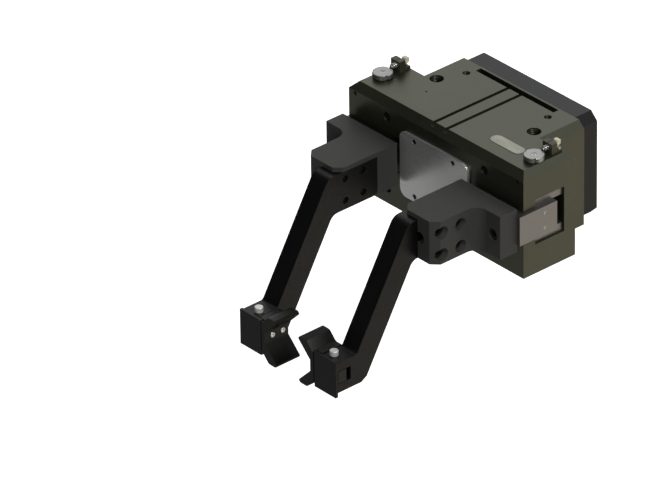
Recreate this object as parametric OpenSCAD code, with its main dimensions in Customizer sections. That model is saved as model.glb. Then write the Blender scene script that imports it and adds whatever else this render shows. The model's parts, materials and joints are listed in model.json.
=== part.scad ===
// Two-jaw parallel pneumatic gripper with cranked arms and self-aligning V pads.
// The origin is the centre of the rear mounting face. +Y leaves that face, the jaws
// slide along X, and the arms reach forward (-Y) and down (-Z).

/* [Housing] */
// Length of the housing along the jaw stroke
body_l = 363; // [355:1:380]
// Height of the housing
body_h = 166; // [160:2:180]
// Depth of the wide front part that guides the jaws
front_d = 98; // [98:1:106]
// Width of the narrower rear part that holds the cylinder
rear_w = 260; // [256:2:280]
// Depth of the whole housing without its rear cover
body_d = 163; // [163:1:168]
// Chamfer round the top of the housing
top_chamfer = 11; // [6:1:12]
// Width of the rear cover
cover_w = 247; // [240:1:260]
// Thickness of the rear cover
cover_t = 31; // [30:1:34]

/* [Cylinder] */
// Diameter of the cylinder bore
bore_d = 120; // [110:1:122]
// Diameter of the piston rod
rod_d = 40; // [36:1:44]
// Thickness of the piston
piston_t = 18; // [16:1:18]

/* [Jaw travel] */
// Travel of each jaw from this position to fully open
open_travel = 13; // [8:1:13]
// Travel of each jaw from this position to fully closed
close_travel = 22; // [15:1:22]

/* [Jaw adapters] */
// Height of the adapter block
adapter_h = 69; // [66:1:72]
// Distance from the middle plane to the adapter's inner face
adapter_in = 67; // [66:1:70]
// Width of the adapter's nose
nose_w = 67.5; // [66:0.5:72]
// Reach of the nose in front of the housing
nose_reach = 123.5; // [122:0.5:130]
// Radius between the nose and the flange
nose_fillet = 20; // [14:1:24]

/* [Arms and pads] */
// Thickness of the arm
arm_t = 32; // [30:0.5:32]
// Width of the arm's sloping bar
arm_w = 37; // [34:1:40]
// Slope of the bar, measured from vertical
arm_angle = 30; // [28:1:31]
// Diameter of the bar that the V pads hold in this position
work_d = 80; // [76:1:82]
// Depth of the gripping axis below the housing's middle
axis_drop = 167.5; // [165:0.5:170]
// Swing of each V pad to either side
pad_swing = 2.5; // [1:0.5:2.5]

/* [Hidden] */
$fn = 64;

eps = 1;                  // how far a cutter runs past a face
slide_gap = 0.3;          // gap between sliding faces
front_y = -(body_d + cover_t);
half_h = body_h / 2;

// Guide slot for the base jaws, measured back from the front face
neck_h = 23;              // half height of the slot's narrow mouth
head_h = 36;              // half height of the slot's wide part
head_y0 = 22;
head_y1 = 77;
pocket_y1 = 104;          // back of the pocket that the wedge runs in
chamber_y0 = 118;         // front wall of the cylinder
chamber_y1 = body_d + 9;  // back wall, in the rear cover

// Wedge: its side faces slope at 45 degrees, so it moves as far as a jaw does
wedge_y0 = 18;
wedge_y1 = 80;
wedge_w0 = 22;            // half width at its front end
wedge_h = 26;             // half height
hook_neck = 5;            // depth of the hook's neck
hook_deep = 9;            // depth of the whole hook
hook_y0 = 36;             // front end of the hook on each base jaw
hook_neck_h = 8;
hook_head_h = 14;

// Base jaw
jaw_out = 187;            // outer end, from the middle plane
jaw_proud = 12;           // how far the jaw stands in front of the housing
jaw_seat_in = 94;         // inner end of the part that stands proud
jaw_step_y = 58.5;        // back of the part that reaches out of the housing
plug_y = 36;
plug_z = 12;
flange_out = 181;         // outer end of the adapter's flange
flange_t = 31.5;
jaw_screw_x = [103.5, 166];
m10_core_r = 4.25;
m10_head_r = 9;
m12_head_r = 10;

// Arm: heights and reaches of its corners
arm_in = 67.5;
arm_out = arm_in + arm_t;
arm_top = 27;
arm_rear = -49.3;
arm_low = -adapter_h / 2;
arm_bend = -140;
arm_screw_y = [-75, -108.5];
arm_screw_z = [15, -20];
foot_front = -274.5;
foot_h = 49;
foot_top = -axis_drop + foot_h / 2;
foot_low = -axis_drop - foot_h / 2;
lip_t = 5;                // plate that closes the foot's window in front
slope = tan(arm_angle);
arm_w_level = arm_w / cos(arm_angle);

// Pad
pin_x = 79;
pin_y = -262.5;
pin_r = 4;
pin_head_r = 6.4;
pin_head_h = 7.5;
tongue_gap = 0.7;         // gap above and below the carrier's tongue
window_y1 = -250.5;
window_h = 20;
v_half = work_d / 2 * sqrt(2);
pad_y0 = foot_front - lip_t;
pad_y1 = -236;
pad_back = 54.5;
carrier_back = 66;
pad_screw_y = [-264, -245];
pad_seat = 3.5;           // wall left under the pad screws' heads

// Sensors
disc_x = 157;
disc_y = 42.5;
disc_r = 15;
disc_t = 8.5;
sensor_z = 9.5;           // height of the sensor's axis above the housing
sensor_r = 4.05;
bracket_foot_t = 4;
bracket_screw_x = 7.2;     // beside the sensor's axis
bracket_screw_y = 82.3;
sensor_y0 = 60;           // front end of the sensor's sleeve
sensor_y1 = 82;

rear_y = body_d + cover_t;
cover_bolts = [22.5:45:360];
bolt_ring_r = 76;
bolt_seat_y = body_d + 14;
pilot_r = 25;
dowel_r = 6;
mount_x = 101;
mount_z = 58;
mount_r = 7;
port_x = 84.5;
port_y = 136;
port_r = 5.72;
port_depth = 16;
lift_x = 101;
lift_y = 94.5;
lift_r = 10.5;
lift_deep = 15.5;
groove_x = 12.9;
groove_w = 6;
groove_deep = 5;
cable_slot_x = 80.5;      // half length of the slot across the rear of the top
cable_slot_y = body_d - 8;
plate_x = 103;
plate_l = 62;
plate_w = 19;
corner_hole_x = 168;
corner_hole_z = 68;
cover_screw_x = 40;
cover_screw_z = 44.5;
m4_hole_r = 1.65;
m3_hole_r = 1.25;

function arc(cx, cy, r, a0, a1, n = 10) =
    [for (i = [0:n]) let (a = a0 + (a1 - a0) * i / n) [cx + r * cos(a), cy + r * sin(a)]];

// Everything below is drawn with y measured back from the housing's front face.
module from_front() {
    translate([0, front_y, 0]) children();
}

module on_side(s) {
    if (s > 0) from_front() children();
    else mirror([1, 0, 0]) from_front() children();
}

// A round bar along +Y from y0 to y1
module bar_y(r, y0, y1, x = 0, z = 0) {
    translate([x, y0, z]) rotate([-90, 0, 0]) cylinder(r = r, h = y1 - y0);
}

// A round bar along +X from x0 to x1
module bar_x(r, x0, x1, y = 0, z = 0) {
    translate([x0, y, z]) rotate([0, 90, 0]) cylinder(r = r, h = x1 - x0);
}

// A box given by its low and high corners
module box(lo, hi) {
    translate(lo) cube(hi - lo);
}

// A profile drawn as [y, z] and extruded along X from x0 to x1
module profile_yz(x0, x1) {
    translate([x0, 0, 0]) rotate([90, 0, 90]) linear_extrude(x1 - x0) children();
}

// A profile drawn as [x, z] and extruded along Y from y0 to y1
module profile_xz(y0, y1) {
    translate([0, y1, 0]) rotate([90, 0, 0]) linear_extrude(y1 - y0) children();
}

// A socket head cap screw along -Z with its seat at the origin. Its shank has the
// diameter of the thread's core, so that it fits a tapped hole.
module cap_screw(d, length, key, head_h) {
    head_r = d * 0.75 + 0.4;
    edge = d * 0.08;
    difference() {
        union() {
            cylinder(r = head_r, h = head_h - edge);
            translate([0, 0, head_h - edge]) cylinder(r1 = head_r, r2 = head_r - edge, h = edge);
            translate([0, 0, -length]) cylinder(r = d * 0.4, h = length + eps / 2);
        }
        translate([0, 0, head_h * 0.3]) cylinder(r = key / sqrt(3), h = head_h, $fn = 6);
    }
}

// ---------------------------------------------------------------- housing

// Section with the two top corners cut off
module topped(w) {
    polygon([
        [-w / 2, -half_h], [w / 2, -half_h], [w / 2, half_h - top_chamfer],
        [w / 2 - top_chamfer, half_h], [-w / 2 + top_chamfer, half_h],
        [-w / 2, half_h - top_chamfer]
    ]);
}

module housing_shell() {
    intersection() {
        profile_xz(0, front_d) topped(body_l);
        profile_yz(-body_l / 2, body_l / 2) translate([front_d / 2, 0]) topped(front_d);
    }
    profile_xz(top_chamfer, body_d) topped(rear_w);
}

module guide_slot() {
    box([-body_l, -eps, -neck_h - slide_gap], [body_l, head_y0 + eps, neck_h + slide_gap]);
    box([-body_l, head_y0, -head_h], [body_l, head_y1, head_h]);
    box([-62, -eps, -head_h], [62, head_y0 + eps, head_h]);
    box([-85, head_y1 - eps, -head_h], [85, pocket_y1, head_h]);
}

// A round hole of radius r from point p to point q
module drill(p, q, r) {
    v = q - p;
    translate(p) rotate([0, acos(v.z / norm(v)), atan2(v.y, v.x)]) cylinder(r = r, h = norm(v));
}

// Port thread, then a slanting drill into the cylinder: the left port serves the
// chamber in front of the piston, the right port the one behind it
module air_channel(s) {
    port_low = half_h - port_depth;
    end_y = s < 0 ? chamber_y0 - 0.5 : body_d + 1.5;
    translate([s * port_x, port_y, port_low]) cylinder(r = port_r, h = port_depth + eps);
    drill([s * port_x, port_y, port_low + 2], [s * 45, end_y, 26], 2.5);
}

module top_grooves() {
    for (s = [-1, 1])
        translate([s * groove_x, 0, half_h - groove_deep])
            box([-groove_w / 2, -eps, 0], [groove_w / 2, cable_slot_y, groove_deep + eps]);
    box([-cable_slot_x, cable_slot_y - 5, half_h - 10],
        [cable_slot_x, cable_slot_y + 5, half_h + eps]);
}

// Tapped holes for lifting eyes
module lifting_holes() {
    for (s = [-1, 1])
        translate([s * lift_x, lift_y, half_h - lift_deep]) cylinder(r = lift_r, h = lift_deep + eps);
}

module housing() {
    color([0.27, 0.27, 0.22]) from_front() difference() {
        housing_shell();
        guide_slot();
        bar_y(rod_d / 2 + 1, pocket_y1 - eps, chamber_y0 + eps);
        bar_y(rod_d / 2 + 4, pocket_y1 - eps, pocket_y1 + 9);
        bar_y(rod_d / 2 + 5, chamber_y0 - 5, chamber_y0 + eps);
        bar_y(bore_d / 2, chamber_y0, body_d + eps);
        for (sx = [-1, 1], sz = [-1, 1])
            bar_y(mount_r, -eps, body_d + eps, sx * mount_x, sz * mount_z);
        for (a = cover_bolts)
            bar_y(m10_core_r, body_d - 25, body_d + eps, bolt_ring_r * cos(a), bolt_ring_r * sin(a));
        for (sx = [-1, 1], sz = [-1, 1])
            bar_y(m4_hole_r, -eps, 12, sx * cover_screw_x, sz * cover_screw_z);
        for (s = [-1, 1]) {
            air_channel(s);
            bar_y(3.3, -eps, 15, s * corner_hole_x, corner_hole_z);
            translate([s * disc_x, disc_y, half_h - 14]) cylinder(r = m4_hole_r, h = 16);
            translate([s * (disc_x + bracket_screw_x), bracket_screw_y, half_h - 12])
                cylinder(r = m3_hole_r, h = 14);
        }
        lifting_holes();
        top_grooves();
        translate([-84, 59, half_h - 6]) cylinder(r = 1.7, h = 8);
        translate([plate_x, disc_y, half_h - 0.8]) obround(plate_l + 0.4, plate_w + 0.4, 2);
    }
}

// A flat bar with round ends, lying along X
module obround(l, w, h) {
    union() {
        translate([-(l - w) / 2, -w / 2, 0]) cube([l - w, w, h]);
        for (s = [-1, 1])
            translate([s * (l - w) / 2, 0, 0]) cylinder(r = w / 2, h = h);
    }
}

module nameplate() {
    color([0.72, 0.71, 0.64]) from_front()
        translate([plate_x, disc_y, half_h - 0.8]) difference() {
            obround(plate_l, plate_w, 1.4);
            for (s = [-1, 1])
                translate([s * 24.5, 0, 1]) cylinder(r = 1.4, h = 1);
        }
}

module rear_cover() {
    c = 12.5;
    w = cover_w / 2;
    color([0.24, 0.25, 0.3]) from_front() difference() {
        profile_xz(body_d, rear_y)
            polygon([
                [-w + c, -half_h], [w - c, -half_h], [w, -half_h + c], [w, half_h - c],
                [w - c, half_h], [-w + c, half_h], [-w, half_h - c], [-w, -half_h + c]
            ]);
        bar_y(bore_d / 2, body_d - eps, chamber_y1);
        difference() {
            bar_y(66, body_d - eps, body_d + 2.4);
            bar_y(62, body_d - 2, body_d + 3);
        }
        for (sx = [-1, 1], sz = [-1, 1])
            bar_y(mount_r, body_d - eps, rear_y + eps, sx * mount_x, sz * mount_z);
        for (a = cover_bolts) {
            x = bolt_ring_r * cos(a);
            z = bolt_ring_r * sin(a);
            bar_y(5.5, body_d - eps, rear_y + eps, x, z);
            bar_y(m10_head_r, bolt_seat_y, rear_y + eps, x, z);
        }
        bar_y(pilot_r, rear_y - 6, rear_y + eps);
        for (s = [-1, 1])
            bar_y(dowel_r, rear_y - 20, rear_y + eps, s * mount_x);
    }
}

module rear_cover_screws() {
    color([0.16, 0.16, 0.17]) from_front()
        for (a = cover_bolts)
            translate([bolt_ring_r * cos(a), bolt_seat_y, bolt_ring_r * sin(a)])
                rotate([-90, 0, 0])
                    cap_screw(10, 34, 8, 10);
}

module cover_o_ring() {
    color([0.08, 0.08, 0.08]) from_front()
        translate([0, body_d + 1.2, 0]) rotate([90, 0, 0]) rotate_extrude()
            translate([64, 0]) circle(r = 1.2, $fn = 24);
}

module front_cover() {
    w = 141;
    h = 106;
    r = 13;
    color([0.6, 0.6, 0.6]) from_front() difference() {
        union() {
            box([-w / 2 + r, -4, -h / 2], [w / 2 - r, 0, h / 2]);
            box([-w / 2, -4, -h / 2 + r], [w / 2, 0, h / 2 - r]);
            for (sx = [-1, 1], sz = [-1, 1])
                bar_y(r, -4, 0, sx * (w / 2 - r), sz * (h / 2 - r));
        }
        for (sx = [-1, 1], sz = [-1, 1]) {
            bar_y(2.2, -5, 1, sx * cover_screw_x, sz * cover_screw_z);
            bar_y(4, -5, -1.8, sx * cover_screw_x, sz * cover_screw_z);
        }
    }
}

module front_cover_screws() {
    color([0.45, 0.45, 0.46]) from_front()
        for (sx = [-1, 1], sz = [-1, 1])
            translate([sx * cover_screw_x, -1.8, sz * cover_screw_z])
                rotate([90, 0, 0]) cap_screw(4, 11, 2.5, 2);
}

module rod_bush() {
    color([0.6, 0.45, 0.25]) from_front() difference() {
        bar_y(rod_d / 2 + 4, pocket_y1, pocket_y1 + 9);
        bar_y(rod_d / 2 + 0.04, pocket_y1 - eps, pocket_y1 + 10);
    }
}

module rod_seal() {
    color([0.1, 0.1, 0.1]) from_front() difference() {
        bar_y(rod_d / 2 + 5, chamber_y0 - 5, chamber_y0);
        bar_y(rod_d / 2 + 0.05, chamber_y0 - 6, chamber_y0 + 1);
    }
}

// ---------------------------------------------------------------- piston

piston_y0 = chamber_y0 + open_travel + 0.6;
groove_r = bore_d / 2 - 4;    // bottom of the piston's two grooves
seal_at = 2;
seal_w = 5;
guide_at = 11;
guide_w = 4;
head_seat = 5.5;              // depth at which the piston screw's head sits

module piston() {
    color([0.62, 0.62, 0.6]) from_front() difference() {
        bar_y(bore_d / 2 - 0.4, piston_y0, piston_y0 + piston_t);
        difference() {
            union() {
                bar_y(bore_d, piston_y0 + seal_at, piston_y0 + seal_at + seal_w);
                bar_y(bore_d, piston_y0 + guide_at, piston_y0 + guide_at + guide_w);
            }
            bar_y(groove_r, piston_y0, piston_y0 + piston_t);
        }
        bar_y(6.6, piston_y0 - eps, piston_y0 + piston_t + eps);
        bar_y(m12_head_r, piston_y0 + head_seat, piston_y0 + piston_t + eps);
    }
}

module ring_y(outer, inner, y0, y1) {
    difference() {
        bar_y(outer, y0, y1);
        bar_y(inner, y0 - eps, y1 + eps);
    }
}

module piston_seal() {
    color([0.1, 0.1, 0.1]) from_front()
        ring_y(bore_d / 2 - 0.05, groove_r, piston_y0 + seal_at, piston_y0 + seal_at + seal_w);
}

module piston_guide_ring() {
    color([0.75, 0.7, 0.55]) from_front()
        ring_y(bore_d / 2 - 0.05, groove_r, piston_y0 + guide_at, piston_y0 + guide_at + guide_w);
}

module piston_rod() {
    color([0.7, 0.7, 0.7]) from_front() difference() {
        bar_y(rod_d / 2, wedge_y1, piston_y0);
        bar_y(5.1, wedge_y1 - eps, piston_y0 + eps);
    }
}

module piston_screw() {
    color([0.16, 0.16, 0.17]) from_front()
        translate([0, piston_y0 + head_seat, 0]) rotate([-90, 0, 0]) cap_screw(12, 26, 10, 12);
}

// Half width of the wedge at y
function wedge_half(y) = wedge_w0 + y - wedge_y0;

// T section of the hook, grown by g on its sides, extruded along the 45 degree face.
// Depth runs into the wedge from its right-hand face.
module hook_rail(g, back, y0, y1) {
    len_rail = (y1 - y0) * sqrt(2);
    translate([wedge_half(y0), y0, 0]) rotate([0, 0, -45]) {
        box([-hook_neck - 0.5, 0, -hook_neck_h - g], [back, len_rail, hook_neck_h + g]);
        box([-hook_deep - g, 0, -hook_head_h - g],
            [-hook_neck + g, len_rail, hook_head_h + g]);
    }
}

module wedge_hook() {
    color([0.5, 0.5, 0.52]) from_front() difference() {
        translate([0, 0, -wedge_h]) linear_extrude(2 * wedge_h)
            polygon([
                [-wedge_half(wedge_y0), wedge_y0], [wedge_half(wedge_y0), wedge_y0],
                [wedge_half(wedge_y1), wedge_y1], [-wedge_half(wedge_y1), wedge_y1]
            ]);
        for (s = [0, 1])
            mirror([s, 0, 0]) hook_rail(slide_gap, 2, wedge_y0 - 20, wedge_y1 + 20);
        bar_y(6.6, wedge_y0 + 5, wedge_y1 + eps);
        bar_y(7.5, wedge_y0 - eps, wedge_y0 + 30);
    }
}

module wedge_screw() {
    color([0.16, 0.16, 0.17]) from_front()
        translate([0, wedge_y0 + 30, 0]) rotate([90, 0, 0])
            difference() {
                union() {
                    cylinder(r = 7.3, h = 10);
                    translate([0, 0, -50]) cylinder(r = 5, h = 50.5);
                }
                translate([0, 0, 4]) cylinder(r = 4.6, h = 8, $fn = 6);
            }
}

// ---------------------------------------------------------------- jaws

// Section of the base jaw across its travel: a T that the guide slot holds
module base_jaw_section() {
    g = slide_gap;
    polygon([
        [1, -neck_h], [head_y0 + g, -neck_h], [head_y0 + g, -head_h + g],
        [head_y1 - g, -head_h + g], [head_y1 - g, head_h - g], [head_y0 + g, head_h - g],
        [head_y0 + g, neck_h], [1, neck_h]
    ]);
}

module base_jaw(s) {
    gap = 0.5;
    far = 300;
    color([0.62, 0.61, 0.6]) on_side(s) {
        difference() {
            union() {
                profile_yz(wedge_w0, body_l / 2 - 4) base_jaw_section();
                box([jaw_seat_in, -jaw_proud, -neck_h], [jaw_out, jaw_step_y, neck_h]);
            }
            // Sloping inner end that faces the wedge
            translate([wedge_half(head_y0) + gap * sqrt(2), head_y0, -far / 2])
                rotate([0, 0, -45])
                    translate([-far, -far / 2, 0]) cube([far, far * 2, far]);
            box([0, -eps, -far], [wedge_half(head_y0) + 1, head_y0 + eps, far]);
            box([110, jaw_step_y, -neck_h], [far, head_y1 + eps, neck_h]);
            for (x = jaw_screw_x) {
                bar_y(m10_core_r, -jaw_proud - eps, 20, x);
                bar_y(8, -jaw_proud - eps, -jaw_proud + 4, x);
            }
            for (sz = [-1, 1])
                bar_x(2.5, jaw_out - 8, jaw_out + eps, plug_y, sz * plug_z);
        }
        intersection() {
            hook_rail(0, 2, hook_y0, head_y1 - slide_gap);
            box([0, hook_y0, -far], [far, head_y1 - slide_gap, far]);
        }
    }
}

module jaw_end_plugs(s) {
    color([0.75, 0.75, 0.75]) on_side(s)
        for (sz = [-1, 1])
            difference() {
                bar_x(2.5, jaw_out - 6, jaw_out - 0.4, plug_y, sz * plug_z);
                bar_x(1.3, jaw_out - 2.5, jaw_out, plug_y, sz * plug_z, $fn = 6);
            }
}

module centring_sleeves(s) {
    color([0.65, 0.65, 0.66]) on_side(s)
        for (x = jaw_screw_x)
            translate([x, 0, 0]) ring_y(8, 5.6, -jaw_proud - 4, -jaw_proud + 4);
}

module jaw_adapter_outline() {
    c = 11;
    out = adapter_in + nose_w;
    polygon(concat(
        [
            [adapter_in, -jaw_proud], [adapter_in, -nose_reach + c],
            [adapter_in + c, -nose_reach], [out - c, -nose_reach], [out, -nose_reach + c]
        ],
        arc(out + nose_fillet, -jaw_proud - flange_t - nose_fillet, nose_fillet, 180, 90),
        [[flange_out, -jaw_proud - flange_t], [flange_out, -jaw_proud]]
    ));
}

module jaw_adapter(s) {
    out = adapter_in + nose_w;
    color([0.2, 0.2, 0.205]) on_side(s) difference() {
        translate([0, 0, -adapter_h / 2]) linear_extrude(adapter_h) jaw_adapter_outline();
        box([adapter_in - eps, -nose_reach - eps, -adapter_h / 2 - eps],
            [arm_out, arm_rear + 0.3, arm_top + 0.3]);
        for (y = arm_screw_y, z = arm_screw_z) {
            bar_x(6.75, arm_out - eps, out + eps, y, z);
            bar_x(m12_head_r, out - 22, out + eps, y, z);
        }
        for (x = jaw_screw_x) {
            bar_y(5.5, -jaw_proud - flange_t - eps, -jaw_proud + eps, x);
            bar_y(8, -jaw_proud - 4, -jaw_proud + eps, x);
        }
        bar_y(m10_head_r, -nose_reach - eps, -jaw_proud - 19, jaw_screw_x[0]);
        bar_y(m10_head_r, -nose_reach, -jaw_proud - 19, jaw_screw_x[1]);
    }
}

module adapter_screws(s) {
    color([0.14, 0.14, 0.145]) on_side(s)
        for (x = jaw_screw_x)
            translate([x, -jaw_proud - 19, 0]) rotate([90, 0, 0]) cap_screw(10, 45, 8, 10);
}

// Outline of the cranked arm as [y, z]
module arm_outline() {
    r_out = 18;
    r_in = 16;
    r_foot = 6;
    r_top = 4;
    r_low = 8;
    bend_in = arm_bend + arm_w_level;
    half = (90 - arm_angle) / 2;
    // Distance from a corner to the start of its round
    t_out = r_out * tan(half);
    t_in = r_in * tan(half);
    y_in = bend_in - (arm_top - arm_low) * slope;
    y_foot = arm_bend - (arm_top - foot_top) * slope;
    y_heel = bend_in - (arm_top - foot_low) * slope;
    t_foot = r_foot * tan(half);
    polygon(concat(
        arc(arm_rear - r_top, arm_top - r_top, r_top, 0, 90, 6),
        arc(arm_bend + t_out, arm_top - r_out, r_out, 90, 90 + 2 * half),
        arc(y_foot - t_foot, foot_top + r_foot, r_foot, -90 + 2 * half, -90, 6),
        [[foot_front, foot_top], [foot_front, foot_low], [y_heel - 7, foot_low],
         [y_heel + 6 * slope, foot_low + 6]],
        arc(y_in + t_in, arm_low - r_in, r_in, 90 + 2 * half, 90),
        arc(arm_rear - r_low, arm_low + r_low, r_low, -90, 0, 6)
    ));
}

module arm(s) {
    color([0.09, 0.09, 0.092]) on_side(s) difference() {
        union() {
            profile_yz(arm_in, arm_out) arm_outline();
            box([56, foot_front - lip_t, foot_low - 6], [arm_out + 1, foot_front, foot_top + 1.5]);
        }
        for (y = arm_screw_y, z = arm_screw_z)
            bar_x(5.1, arm_in - eps, arm_out + eps, y, z);
        box([arm_in - eps, foot_front, -axis_drop - window_h / 2],
            [arm_out + 2, window_y1, -axis_drop + window_h / 2]);
        translate([pin_x, pin_y, foot_low + 3]) cylinder(r = pin_r + 0.02, h = 60);
    }
}

module arm_screws(s) {
    out = adapter_in + nose_w;
    color([0.14, 0.14, 0.145]) on_side(s)
        for (y = arm_screw_y, z = arm_screw_z)
            translate([out - 22, y, z]) rotate([0, 90, 0]) cap_screw(12, 40, 10, 12);
}

module pad_pin(s) {
    edge = 0.8;
    color([0.75, 0.75, 0.74]) on_side(s)
        translate([pin_x, pin_y, foot_top]) union() {
            cylinder(r = pin_head_r, h = pin_head_h - edge);
            translate([0, 0, pin_head_h - edge])
                cylinder(r1 = pin_head_r, r2 = pin_head_r - edge, h = edge);
            translate([0, 0, -foot_h + 4]) cylinder(r = pin_r, h = foot_h);
        }
}

module pad_carrier(s) {
    seat_h = 25;
    color([0.15, 0.15, 0.15]) on_side(s) difference() {
        union() {
            box([pad_back, foot_front + 2, -axis_drop - seat_h],
                [carrier_back, pad_y1 - 1, -axis_drop + seat_h]);
            box([carrier_back - eps, foot_front + 1.7, -axis_drop - window_h / 2 + tongue_gap],
                [arm_out - 0.2, foot_front + 16.5, -axis_drop + window_h / 2 - tongue_gap]);
        }
        translate([pin_x, pin_y, -axis_drop - window_h])
            cylinder(r = pin_r + 0.06, h = 2 * window_h);
        for (y = pad_screw_y)
            bar_x(2.1, pad_back - eps, carrier_back + eps, y, -axis_drop);
    }
}

// Section of the V pad as [x, z], centred on the gripping axis
module v_pad_section() {
    lip = 33;
    flat = 9;
    polygon(concat(
        [[v_half - flat, -flat], [v_half - lip, -lip]],
        arc(v_half - lip + 4.2, -lip - 0.6, 4.2, 172, 270, 5),
        [[37, -lip - 4.8], [41, -lip - 4], [52.5, -25], [pad_back, -25],
         [pad_back, 25], [52.5, 25], [41, lip + 4], [37, lip + 4.8]],
        arc(v_half - lip + 4.2, lip + 0.6, 4.2, 90, 188, 5),
        [[v_half - lip, lip], [v_half - flat, flat]]
    ));
}

module v_pad(s) {
    color([0.23, 0.23, 0.2]) on_side(s) translate([0, 0, -axis_drop]) difference() {
        profile_xz(pad_y0, pad_y1) v_pad_section();
        for (y = pad_screw_y) {
            bar_x(2.7, 20, pad_back + eps, y);
            bar_x(5, 20, pad_back - pad_seat, y);
        }
    }
}

module pad_screws(s) {
    color([0.4, 0.4, 0.41]) on_side(s)
        for (y = pad_screw_y)
            translate([pad_back - pad_seat, y, -axis_drop])
                rotate([0, -90, 0]) cap_screw(5, 13, 4, 3);
}

// ---------------------------------------------------------------- sensors

module switch_disc(s) {
    under = 2;
    edge = 0.8;
    color([0.72, 0.72, 0.72]) on_side(s)
        translate([disc_x, disc_y, half_h]) difference() {
            union() {
                cylinder(r = disc_r - 4, h = under);
                translate([0, 0, under]) cylinder(r = disc_r, h = disc_t - under - edge);
                translate([0, 0, disc_t - edge])
                    cylinder(r1 = disc_r, r2 = disc_r - edge, h = edge);
            }
            translate([0, 0, -eps]) cylinder(r = 2.2, h = disc_t + 2);
            translate([0, 0, disc_t - 4]) cylinder(r = 3.7, h = 5);
            for (a = [80:120:320])
                rotate([0, 0, a]) translate([disc_r + 0.6, 0, -eps])
                    cylinder(r = 2.6, h = disc_t + 2);
        }
}

module disc_screw(s) {
    color([0.3, 0.3, 0.3]) on_side(s)
        translate([disc_x, disc_y, half_h + disc_t - 4]) cap_screw(4, 13, 3, 3.4);
}

// A clamp block that holds the sensor, on a low foot behind it
module sensor_bracket(s) {
    y0 = 67;
    y1 = 77;
    color([0.2, 0.19, 0.15]) on_side(s) translate([disc_x, 0, half_h]) difference() {
        union() {
            box([-9, y0, 0], [10, y1, sensor_z + 7.5]);
            box([-9, y1 - eps, 0], [10, 87, bracket_foot_t]);
        }
        bar_y(sensor_r + 0.05, y0 - eps, y1 + eps, 0, sensor_z);
        box([-0.6, y0 - eps, sensor_z], [0.6, y1 + eps, sensor_z + 9]);
        translate([bracket_screw_x, bracket_screw_y, -eps]) cylinder(r = 1.7, h = 12);
    }
}

module bracket_screw(s) {
    color([0.3, 0.3, 0.3]) on_side(s)
        translate([disc_x + bracket_screw_x, bracket_screw_y, half_h + bracket_foot_t])
            cap_screw(3, 12, 2.5, 3);
}

module sensor(s) {
    color([0.8, 0.8, 0.79]) on_side(s) translate([disc_x, 0, half_h + sensor_z]) {
        bar_y(sensor_r, sensor_y0, sensor_y1);
        bar_y(sensor_r * 0.64, sensor_y0 - 2, sensor_y0 + 0.5);
    }
}

// The plug on the sensor's rear end, with its cable outlet left open
module sensor_plug(s) {
    color([0.85, 0.83, 0.72]) on_side(s) translate([disc_x, 0, half_h + sensor_z]) difference() {
        union() {
            bar_y(5, sensor_y1, sensor_y1 + 4);
            box([-4.2, sensor_y1 + 1, -1.2], [4.2, sensor_y1 + 7, 5.6]);
        }
        bar_y(1.8, sensor_y1 + 4, sensor_y1 + 8);
    }
}

// ---------------------------------------------------------------- nodes

housing();
rear_cover();
rear_cover_screws();
cover_o_ring();
front_cover();
front_cover_screws();
rod_bush();
rod_seal();
nameplate();
piston();
piston_seal();
piston_guide_ring();
piston_rod();
piston_screw();
wedge_hook();
wedge_screw();
base_jaw(1);  // base_jaw_right
jaw_end_plugs(1);  // jaw_end_plugs_right
centring_sleeves(1);  // centring_sleeves_right
jaw_adapter(1);  // jaw_adapter_right
adapter_screws(1);  // adapter_screws_right
arm(1);  // arm_right
arm_screws(1);  // arm_screws_right
pad_pin(1);  // pad_pin_right
pad_carrier(1);  // pad_carrier_right
v_pad(1);  // v_pad_right
pad_screws(1);  // pad_screws_right
base_jaw(-1);  // base_jaw_left
jaw_end_plugs(-1);  // jaw_end_plugs_left
centring_sleeves(-1);  // centring_sleeves_left
jaw_adapter(-1);  // jaw_adapter_left
adapter_screws(-1);  // adapter_screws_left
arm(-1);  // arm_left
arm_screws(-1);  // arm_screws_left
pad_pin(-1);  // pad_pin_left
pad_carrier(-1);  // pad_carrier_left
v_pad(-1);  // v_pad_left
pad_screws(-1);  // pad_screws_left
switch_disc(1);  // switch_disc_right
disc_screw(1);  // disc_screw_right
sensor_bracket(1);  // sensor_bracket_right
sensor(1);  // sensor_right
sensor_plug(1);  // sensor_plug_right
bracket_screw(1);  // bracket_screw_right
switch_disc(-1);  // switch_disc_left
disc_screw(-1);  // disc_screw_left
sensor_bracket(-1);  // sensor_bracket_left
sensor(-1);  // sensor_left
sensor_plug(-1);  // sensor_plug_left
bracket_screw(-1);  // bracket_screw_left
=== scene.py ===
"""Looks of the pneumatic gripper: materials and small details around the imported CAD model."""

import json
import math

import bmesh
import bpy
from mathutils import Matrix, Vector


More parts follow.
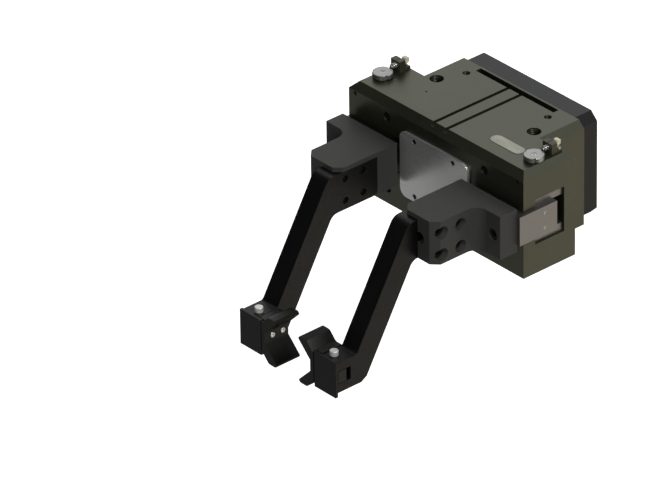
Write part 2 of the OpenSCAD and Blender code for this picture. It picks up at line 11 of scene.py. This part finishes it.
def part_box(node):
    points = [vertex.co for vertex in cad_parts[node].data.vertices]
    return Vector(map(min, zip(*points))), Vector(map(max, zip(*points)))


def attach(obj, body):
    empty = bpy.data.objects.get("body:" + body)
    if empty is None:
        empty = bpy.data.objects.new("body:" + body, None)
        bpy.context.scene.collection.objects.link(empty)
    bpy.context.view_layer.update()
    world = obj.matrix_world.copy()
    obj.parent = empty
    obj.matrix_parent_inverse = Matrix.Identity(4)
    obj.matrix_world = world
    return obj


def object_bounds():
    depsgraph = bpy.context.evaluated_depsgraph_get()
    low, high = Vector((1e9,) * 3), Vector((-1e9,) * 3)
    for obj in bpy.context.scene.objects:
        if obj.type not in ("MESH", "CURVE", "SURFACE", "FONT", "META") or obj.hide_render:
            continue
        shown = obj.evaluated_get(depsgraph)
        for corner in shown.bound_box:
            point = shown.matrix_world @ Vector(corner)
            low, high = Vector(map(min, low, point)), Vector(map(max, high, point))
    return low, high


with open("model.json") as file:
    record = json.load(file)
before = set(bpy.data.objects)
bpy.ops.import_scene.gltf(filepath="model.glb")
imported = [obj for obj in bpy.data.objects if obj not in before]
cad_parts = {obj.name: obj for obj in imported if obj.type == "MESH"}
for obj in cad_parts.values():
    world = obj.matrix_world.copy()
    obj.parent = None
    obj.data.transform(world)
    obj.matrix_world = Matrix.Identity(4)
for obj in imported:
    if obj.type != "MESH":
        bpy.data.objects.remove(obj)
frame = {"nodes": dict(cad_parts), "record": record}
cad_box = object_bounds()

MM = 0.001
SIDES = (("right", 1), ("left", -1))
# Metres between two bands of a wave texture whose scale is 1
WAVE_PERIOD = 0.314
# Where a colour mix node keeps its two colours and its result
MIX_A, MIX_B, MIX_RESULT = 6, 7, 2
scene = bpy.context.scene


# ---------------------------------------------------------------- small helpers


def centre_of(node):
    """Middle of a CAD node's box."""
    lo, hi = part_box(node)
    return (lo + hi) / 2


def mesh_piece(name, bm, slot):
    """Turns a bmesh into a named piece of the housing, in that slot's material."""
    bmesh.ops.recalc_face_normals(bm, faces=bm.faces)
    mesh = bpy.data.meshes.new(name)
    bm.to_mesh(mesh)
    bm.free()
    mesh.materials.append(materials[slot])
    for face in mesh.polygons:
        face.use_smooth = True
    obj = bpy.data.objects.new(name, mesh)
    scene.collection.objects.link(obj)
    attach(obj, "housing_body")


# ---------------------------------------------------------------- materials


class Nodes:
    """A short way to build one material's node tree."""

    def __init__(self, name):
        self.material = bpy.data.materials.new(name)
        self.material.use_nodes = True
        self.tree = self.material.node_tree
        self.shader = self.tree.nodes["Principled BSDF"]
        self.coords = self.add("ShaderNodeTexCoord").outputs["Object"]

    def add(self, kind, **settings):
        """A new node of that kind with those settings."""
        node = self.tree.nodes.new(kind)
        for key, value in settings.items():
            setattr(node, key, value)
        return node

    def link(self, source, target):
        """Joins an output socket to an input socket."""
        self.tree.links.new(source, target)

    def noise(self, scale, detail=3.0, stretch=(1, 1, 1)):
        """Noise fixed to the object; scale is roughly how many features fit in a metre."""
        mapping = self.add("ShaderNodeMapping")
        mapping.inputs["Scale"].default_value = stretch
        self.link(self.coords, mapping.inputs["Vector"])
        noise = self.add("ShaderNodeTexNoise")
        noise.inputs["Scale"].default_value = scale
        noise.inputs["Detail"].default_value = detail
        self.link(mapping.outputs["Vector"], noise.inputs["Vector"])
        return noise.outputs["Fac"]

    def threads(self, pitch):
        """Bands across Y, pitch metres apart."""
        wave = self.add("ShaderNodeTexWave", wave_type="BANDS", bands_direction="Y")
        wave.inputs["Scale"].default_value = WAVE_PERIOD / pitch
        self.link(self.coords, wave.inputs["Vector"])
        return wave.outputs["Fac"]

    def ramp(self, value, stops):
        """A colour ramp; stops are (position, grey level or colour)."""
        ramp = self.add("ShaderNodeValToRGB")
        elements = ramp.color_ramp.elements
        while len(elements) < len(stops):
            elements.new(0.5)
        for element, (position, colour) in zip(elements, stops):
            element.position = position
            grey = isinstance(colour, (int, float))
            element.color = (colour, colour, colour, 1) if grey else (*colour, 1)
        self.link(value, ramp.inputs["Fac"])
        return ramp.outputs["Color"]

    def mix(self, factor, a, b):
        """Colour a where factor is 0 and colour b where it is 1."""
        mix = self.add("ShaderNodeMix", data_type="RGBA")
        self.link(factor, mix.inputs["Factor"])
        for value, index in ((a, MIX_A), (b, MIX_B)):
            if isinstance(value, tuple):
                mix.inputs[index].default_value = (*value, 1)
            else:
                self.link(value, mix.inputs[index])
        return mix.outputs[MIX_RESULT]

    def edge_mask(self, radius):
        """Up to 1 within that distance of the shape's edges, and 0 on its faces."""
        sharpness = 6.0
        bevel = self.add("ShaderNodeBevel", samples=4)
        bevel.inputs["Radius"].default_value = radius
        normal = self.add("ShaderNodeNewGeometry").outputs["Normal"]
        dot = self.add("ShaderNodeVectorMath", operation="DOT_PRODUCT")
        self.link(bevel.outputs["Normal"], dot.inputs[0])
        self.link(normal, dot.inputs[1])
        away = self.add("ShaderNodeMath", operation="SUBTRACT", use_clamp=True)
        away.inputs[0].default_value = 1.0
        self.link(dot.outputs["Value"], away.inputs[1])
        strong = self.add("ShaderNodeMath", operation="MULTIPLY", use_clamp=True)
        strong.inputs[1].default_value = sharpness
        self.link(away.outputs["Value"], strong.inputs[0])
        return strong.outputs["Value"]

    def times(self, a, b):
        """The product of two values."""
        node = self.add("ShaderNodeMath", operation="MULTIPLY")
        self.link(a, node.inputs[0])
        self.link(b, node.inputs[1])
        return node.outputs["Value"]

    def bump(self, height, distance, strength=1.0, after=None):
        """A bump of that depth in metres, laid over another one if given."""
        bump = self.add("ShaderNodeBump")
        bump.inputs["Distance"].default_value = distance
        bump.inputs["Strength"].default_value = strength
        self.link(height, bump.inputs["Height"])
        if after is not None:
            self.link(after, bump.inputs["Normal"])
        return bump.outputs["Normal"]

    def finish(self, colour, roughness, normal, metallic=0.0, specular=0.5):
        """Links the maps to the shader and sets what is the same all over."""
        self.link(colour, self.shader.inputs["Base Color"])
        self.link(roughness, self.shader.inputs["Roughness"])
        self.link(normal, self.shader.inputs["Normal"])
        self.shader.inputs["Metallic"].default_value = metallic
        self.shader.inputs["Specular IOR Level"].default_value = specular
        return self.material


def scaled(colour, factor):
    """A colour made lighter or darker by that factor."""
    return tuple(min(1.0, c * factor) for c in colour)


def anodised(name, colour, worn, roughness, metallic, specular=0.5):
    """Blasted and hard anodised aluminium, rubbed lighter along its edges."""
    n = Nodes(name)
    patches = n.noise(9, detail=4)
    speckle = n.noise(900, detail=2)
    tone = n.ramp(patches, [(0.3, scaled(colour, 0.88)), (0.7, scaled(colour, 1.14))])
    fine = n.mix(n.ramp(speckle, [(0.42, 0), (0.75, 0.35)]), tone, scaled(colour, 1.5))
    scuffs = n.ramp(n.noise(140, detail=5), [(0.46, 0.15), (0.62, 1.0)])
    edge = n.times(n.edge_mask(0.9 * MM), scuffs)
    col = n.mix(edge, fine, worn)
    rough = n.ramp(patches, [(0.25, roughness - 0.06), (0.75, roughness + 0.07)])
    blasted = n.bump(n.noise(2600, detail=2), distance=0.03 * MM, strength=0.5)
    dents = n.bump(n.noise(60, detail=2), distance=0.05 * MM, strength=0.25, after=blasted)
    return n.finish(col, rough, dents, metallic, specular)


def ground_steel(name, colour, roughness, stretch=(1, 60, 60), metallic=0.9):
    """Ground or milled metal; its fine lines run along the axis where stretch is 1."""
    n = Nodes(name)
    lines = n.noise(60, detail=4, stretch=stretch)
    cloud = n.noise(14, detail=3)
    tone = n.ramp(lines, [(0.3, scaled(colour, 0.82)), (0.7, scaled(colour, 1.15))])
    col = n.mix(n.ramp(cloud, [(0.35, 0), (0.8, 0.3)]), tone, scaled(colour, 0.7))
    rough = n.ramp(lines, [(0.3, roughness - 0.07), (0.7, roughness + 0.1)])
    grooves = n.bump(lines, distance=0.02 * MM, strength=0.5)
    return n.finish(col, rough, grooves, metallic)


def blackened(name, colour, worn, roughness=0.4, metallic=0.6):
    """Blackened or painted steel with an orange-peel skin and worn edges."""
    n = Nodes(name)
    cloud = n.noise(16, detail=4)
    tone = n.ramp(cloud, [(0.3, scaled(colour, 0.8)), (0.7, scaled(colour, 1.3))])
    scuffs = n.ramp(n.noise(170, detail=5), [(0.5, 0.1), (0.66, 1.0)])
    col = n.mix(n.times(n.edge_mask(0.7 * MM), scuffs), tone, worn)
    rough = n.ramp(n.noise(260, detail=3), [(0.3, roughness - 0.06), (0.7, roughness + 0.09)])
    peel = n.bump(n.noise(750, detail=2), distance=0.02 * MM, strength=0.45)
    return n.finish(col, rough, peel, metallic)


def threaded(name, colour, pitch):
    """A bright sleeve with a fine thread along Y, with painted shade darkening the thread roots.
    """
    n = Nodes(name)
    bands = n.threads(pitch)
    # Painted shade: the colour drops to a third of the sleeve's own in the thread roots, where
    # shade falls
    tone = n.ramp(bands, [(0.1, scaled(colour, 0.35)), (0.7, colour)])
    rough = n.ramp(n.noise(300, detail=3), [(0.3, 0.22), (0.7, 0.38)])
    ridges = n.bump(bands, distance=0.3 * MM, strength=0.6)
    return n.finish(tone, rough, ridges, metallic=0.85)


def moulded(name, colour, roughness):
    """Moulded plastic or rubber with a faint grain."""
    n = Nodes(name)
    tone = n.ramp(n.noise(90, detail=3), [(0.3, scaled(colour, 0.9)), (0.7, scaled(colour, 1.08))])
    rough = n.ramp(n.noise(300, detail=2), [(0.3, roughness - 0.05), (0.7, roughness + 0.05)])
    grain = n.bump(n.noise(1800, detail=2), distance=0.02 * MM, strength=0.4)
    return n.finish(tone, rough, grain)


def brushed_plate(name, colour, roughness):
    """Brushed sheet: long fine scratches along X."""
    n = Nodes(name)
    scratches = n.noise(45, detail=6, stretch=(1, 90, 90))
    tone = n.ramp(scratches, [(0.25, scaled(colour, 0.8)), (0.75, scaled(colour, 1.15))])
    rough = n.ramp(scratches, [(0.3, roughness - 0.05), (0.7, roughness + 0.12)])
    n.shader.inputs["Anisotropic"].default_value = 0.6
    grooves = n.bump(scratches, distance=0.02 * MM, strength=0.4)
    return n.finish(tone, rough, grooves, metallic=0.8)


# Every material by the name of its slot: the recipe and what the recipe takes
RECIPES = {
    "housing_anodised": (anodised, dict(
        colour=(0.074, 0.076, 0.054), worn=(0.19, 0.19, 0.15), roughness=0.3, metallic=0.8)),
    "cover_anodised": (anodised, dict(
        colour=(0.02, 0.0205, 0.021), worn=(0.08, 0.08, 0.08), roughness=0.32, metallic=0.8)),
    "adapter_anodised": (anodised, dict(
        colour=(0.052, 0.052, 0.049), worn=(0.1, 0.1, 0.1), roughness=0.55, metallic=0.1,
        specular=0.2)),
    "bracket_anodised": (anodised, dict(
        colour=(0.05, 0.047, 0.03), worn=(0.14, 0.14, 0.11), roughness=0.4, metallic=0.4)),
    "arm_steel": (blackened, dict(colour=(0.008, 0.008, 0.008), worn=(0.05, 0.05, 0.05))),
    "carrier_steel": (blackened, dict(colour=(0.016, 0.016, 0.016), worn=(0.08, 0.08, 0.08))),
    "pad_steel": (blackened, dict(colour=(0.009, 0.009, 0.008), worn=(0.06, 0.06, 0.05))),
    "black_screws": (blackened, dict(
        colour=(0.02, 0.02, 0.021), worn=(0.12, 0.12, 0.12), roughness=0.35)),
    "jaw_steel": (ground_steel, dict(colour=(0.245, 0.235, 0.228), roughness=0.36)),
    "hardened_steel": (ground_steel, dict(colour=(0.3, 0.3, 0.31), roughness=0.3)),
    "front_plate": (brushed_plate, dict(colour=(0.8, 0.8, 0.79), roughness=0.3)),
    "plate": (brushed_plate, dict(colour=(0.38, 0.38, 0.32), roughness=0.42)),
    "steel_small": (ground_steel, dict(colour=(0.62, 0.62, 0.6), roughness=0.3)),
    "sensor_sleeve": (threaded, dict(colour=(0.75, 0.74, 0.7), pitch=1.0 * MM)),
    "disc_steel": (ground_steel, dict(colour=(0.37, 0.37, 0.365), roughness=0.34)),
    "pin_steel": (ground_steel, dict(
        colour=(0.82, 0.82, 0.78), roughness=0.4, metallic=0.4)),
    "bronze": (ground_steel, dict(colour=(0.42, 0.28, 0.12), roughness=0.35)),
    "piston_alloy": (ground_steel, dict(colour=(0.55, 0.55, 0.53), roughness=0.35)),
    "chromed_rod": (ground_steel, dict(
        colour=(0.7, 0.7, 0.7), roughness=0.12, stretch=(60, 1, 60))),
    "seal_rubber": (moulded, dict(colour=(0.02, 0.02, 0.02), roughness=0.7)),
    "guide_plastic": (moulded, dict(colour=(0.6, 0.56, 0.4), roughness=0.55)),
    "plug_plastic": (moulded, dict(colour=(0.72, 0.69, 0.5), roughness=0.4)),
}
materials = {name: recipe(name, **values) for name, (recipe, values) in RECIPES.items()}
slot_of = {part["node"]: part["material_slot"] for part in frame["record"]["subparts"]}


def dress(node, material):
    """Puts a material in a CAD node's slots."""
    slots = frame["nodes"][node].material_slots
    for slot in slots:
        slot.material = material
    if not slots:
        frame["nodes"][node].data.materials.append(material)


for node, slot in slot_of.items():
    dress(node, materials[slot])


def ease_edges(node, width):
    """Joins a CAD node's flat faces up, then breaks its sharp edges with a small bevel."""
    obj = frame["nodes"][node]
    weld = obj.modifiers.new("weld", "WELD")
    weld.merge_threshold = 0.001 * MM
    merge = obj.modifiers.new("merge_flat_faces", "DECIMATE")
    merge.decimate_type = "DISSOLVE"
    merge.angle_limit = math.radians(0.5)
    bevel = obj.modifiers.new("bevel", "BEVEL")
    bevel.width = width
    bevel.segments = 2
    bevel.limit_method = "ANGLE"
    bevel.angle_limit = math.radians(38)
    bevel.harden_normals = True
    bevel.use_clamp_overlap = True


EDGE_WIDTHS = {
    "housing": 0.7, "rear_cover": 0.7, "jaw_adapter": 0.7, "arm": 0.8,
    "base_jaw": 0.4, "v_pad": 0.4, "pad_carrier": 0.3, "front_cover": 0.4,
}
for node, width in EDGE_WIDTHS.items():
    for name in (node, node + "_right", node + "_left"):
        if name in frame["nodes"]:
            ease_edges(name, width * MM)


# ---------------------------------------------------------------- added detail


def make_thread(name, mount, pitch, depth):
    """Thread ridges on the wall of a tapped hole that opens upwards."""
    around = 48
    profile = (0, 0.5, 1, 0.5)          # from root over crest, as shares of the depth
    steps = len(profile)
    wall_gap = 0.05 * MM
    bottom_gap = 0.2 * MM
    top_gap = 0.3 * MM
    radius = mount["dims"]["r_mm"] * MM - wall_gap
    length = mount["dims"]["length_mm"] * MM
    x, y, z = mount["pos_m"]
    bm = bmesh.new()
    rows = []
    for step in range(steps * (int(length / pitch) + 2)):
        r = radius - depth * profile[step % steps]
        row = []
        for turn in range(around + 1):
            angle = 2 * math.pi * turn / around
            rise = (step / steps + turn / around - 1) * pitch
            rise = min(max(rise, bottom_gap), length - top_gap)
            place = (x + r * math.cos(angle), y + r * math.sin(angle), z - length / 2 + rise)
            row.append(bm.verts.new(place))
        rows.append(row)
    for lower, upper in zip(rows, rows[1:]):
        for i in range(around):
            bm.faces.new((lower[i], lower[i + 1], upper[i + 1], upper[i]))
    mesh_piece(name, bm, "housing_anodised")


def make_rivet(name, place, radius, height):
    """A low domed rivet head."""
    bm = bmesh.new()
    bmesh.ops.create_uvsphere(bm, u_segments=24, v_segments=12, radius=1.0)
    bmesh.ops.scale(bm, vec=(radius, radius, height), verts=bm.verts)
    bmesh.ops.translate(bm, vec=place, verts=bm.verts)
    mesh_piece(name, bm, "steel_small")


# Pitch and depth of an M24 thread and of a G1/4 pipe thread
THREADS = {"lifting_thread": (3.0 * MM, 1.1 * MM), "air_port": (1.337 * MM, 0.5 * MM)}
for mount in frame["record"]["mounts"]:
    for start, (pitch, depth) in THREADS.items():
        if mount["name"].startswith(start):
            make_thread("ridges_" + mount["name"], mount, pitch, depth)

RIVET_X = 24.5 * MM             # from the middle of the nameplate
RIVET_R, RIVET_H, RIVET_SUNK = 1.3 * MM, 0.6 * MM, 0.2 * MM
plate_middle = centre_of("nameplate")
plate_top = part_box("nameplate")[1].z
for side, sign in SIDES:
    place = (plate_middle.x + sign * RIVET_X, plate_middle.y, plate_top - RIVET_SUNK)
    make_rivet("rivet_" + side, place, RIVET_R, RIVET_H)


# ---------------------------------------------------------------- stage


def make_floor():
    """A wide pale floor below the gripper; it doesn't light the gripper."""
    size = 12.0
    drop = 0.25
    lowest = cad_box[0].z
    bpy.ops.mesh.primitive_plane_add(size=size, location=(0, 0, lowest - drop))
    floor = bpy.context.active_object
    floor.name = "floor"
    n = Nodes("floor_paint")
    tone = n.ramp(n.noise(3, detail=2), [(0.3, 0.86), (0.7, 0.9)])
    rough = n.ramp(n.noise(40, detail=2), [(0.3, 0.85), (0.7, 0.95)])
    grain = n.bump(n.noise(200), distance=0.1 * MM, strength=0.2)
    floor.data.materials.append(n.finish(tone, rough, grain))
    n.shader.inputs["Emission Color"].default_value = (1, 1, 1, 1)
    n.shader.inputs["Emission Strength"].default_value = 0.85
    floor.visible_diffuse = False
    floor.visible_glossy = False
    floor.visible_shadow = False


def make_light(name, towards, distance, size, power, colour=(1, 1, 1)):
    """A square area light, that way and that far from the middle of the gripper."""
    middle = Vector((0, -0.2, -0.03))
    light = bpy.data.lights.new(name, "AREA")
    light.shape = "SQUARE"
    light.size = size
    light.energy = power
    light.color = colour
    obj = bpy.data.objects.new(name, light)
    direction = Vector(towards).normalized()
    obj.location = middle + direction * distance
    obj.rotation_euler = direction.to_track_quat("Z", "Y").to_euler()
    obj.visible_camera = False
    scene.collection.objects.link(obj)


def make_world(strength):
    """An even white background light of that strength."""
    world = bpy.data.worlds.new("studio")
    world.use_nodes = True
    background = world.node_tree.nodes["Background"]
    background.inputs["Color"].default_value = (1, 1, 1, 1)
    background.inputs["Strength"].default_value = strength
    scene.world = world


def make_camera():
    """A long lens far away, because the view has almost no perspective."""
    azimuth = math.radians(48.81)
    elevation = math.radians(30.9)
    roll = math.radians(-0.81)
    distance = 12.0
    view_width = 0.9362                 # width of the view at the gripper, in metres
    pivot = Vector((0, -0.25, -0.06))
    aside, below = 0.1003, 0.0281       # from the pivot to the view's centre, in metres
    back = Vector((
        math.sin(azimuth) * math.cos(elevation),
        -math.cos(azimuth) * math.cos(elevation),
        math.sin(elevation),
    ))
    level = Vector((math.cos(azimuth), math.sin(azimuth), 0))
    upright = back.cross(level)
    right = level * math.cos(roll) + upright * math.sin(roll)
    up = upright * math.cos(roll) - level * math.sin(roll)
    data = bpy.data.cameras.new("camera")
    data.sensor_width = 36
    data.lens = data.sensor_width * distance / view_width
    data.clip_end = 100
    camera = bpy.data.objects.new("camera", data)
    place = pivot - right * aside - up * below + back * distance
    turn = Matrix((right, up, back)).transposed().to_4x4()
    camera.matrix_world = Matrix.Translation(place) @ turn
    scene.collection.objects.link(camera)
    scene.camera = camera


make_camera()
make_floor()
make_world(strength=0.05)
# Two large panels that the top and the right-hand faces mirror
make_light("panel_top", (-0.65, 0.57, 0.51), distance=2.2, size=2.4, power=19)
make_light("panel_side", (0.65, 0.57, -0.45), distance=2.2, size=2.2, power=12.5,
           colour=(1.0, 0.93, 0.8))
# A smaller one between them for the sloping right-hand edges
make_light("panel_back", (0.51, 0.565, 0.65), distance=2.2, size=1.2, power=4)
# A small low panel that the front plate mirrors
make_light("panel_front", (-0.62, -0.54, -0.57), distance=0.9, size=0.8, power=0.6)
# General light from above, from the right, from the front and from behind
make_light("panel_over", (0, 0, 1), distance=3.0, size=2.0, power=10)
make_light("key", (0.75, -0.05, 0.66), distance=3.0, size=1.0, power=38)
make_light("fill", (0.5, -0.85, 0.15), distance=3.0, size=1.0, power=18)
make_light("behind", (-0.2, 0.95, -0.1), distance=3.0, size=1.4, power=22)
scene.view_settings.view_transform = "Standard"
